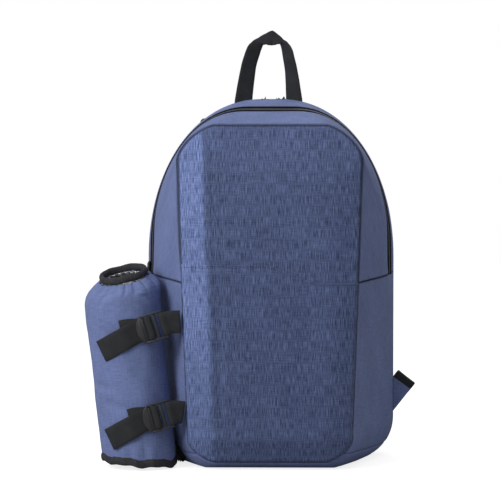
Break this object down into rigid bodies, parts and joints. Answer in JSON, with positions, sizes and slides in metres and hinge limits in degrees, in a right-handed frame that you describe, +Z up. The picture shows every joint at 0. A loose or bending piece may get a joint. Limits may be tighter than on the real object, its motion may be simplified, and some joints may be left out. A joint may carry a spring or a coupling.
{
  "type": "cooler backpack",
  "caption": "Insulated backpack with an arched top zip, a curved front patch pocket, padded straps and a bottle sleeve buckled to its side.",
  "frame": {"origin": "middle of the base, on the surface the backpack stands on", "axes": "+Z up, the front with the patch pocket faces -Y, the shoulder straps are at +Y, and the bottle sleeve is at -X"},
  "size_m": [0.3697, 0.2278, 0.4876],
  "materials": {
    "heather_fabric": "woven two-tone heather",
    "plain_fabric": "fine woven",
    "webbing": "woven webbing",
    "elastic": "ribbed elastic binding",
    "plastic": "satin",
    "zip": "woven tape and coil",
    "foil": "silver film"
  },
  "bodies": {
    "root": {"front_panel": "heather_fabric", "front_pocket": "heather_fabric", "back_panel": "plain_fabric", "gusset_front": "heather_fabric", "gusset_back": "plain_fabric", "side_right": "heather_fabric", "side_left": "heather_fabric", "base_panel": "plain_fabric", "zip_tape_front": "zip", "zip_tape_back": "zip", "zip_coil": "zip", "zip_slider": "plastic", "grab_handle": "webbing", "shoulder_strap_left": "plain_fabric", "strap_tab_left": "heather_fabric", "strap_lock_left": "plastic", "strap_loop_left": "webbing", "strap_web_left": "webbing", "shoulder_strap_right": "plain_fabric", "strap_tab_right": "heather_fabric", "strap_lock_right": "plastic", "strap_loop_right": "webbing", "strap_web_right": "webbing", "sleeve_body": "heather_fabric", "sleeve_lining": "foil", "sleeve_rim": "elastic", "sleeve_hem": "elastic", "sleeve_base": "heather_fabric", "sleeve_web_upper": "webbing", "sleeve_lock_upper": "plastic", "bag_web_upper": "webbing", "sleeve_web_lower": "webbing", "sleeve_lock_lower": "plastic", "bag_web_lower": "webbing", "rear_web": "webbing", "corner_web": "webbing"}
  },
  "joints": []
}
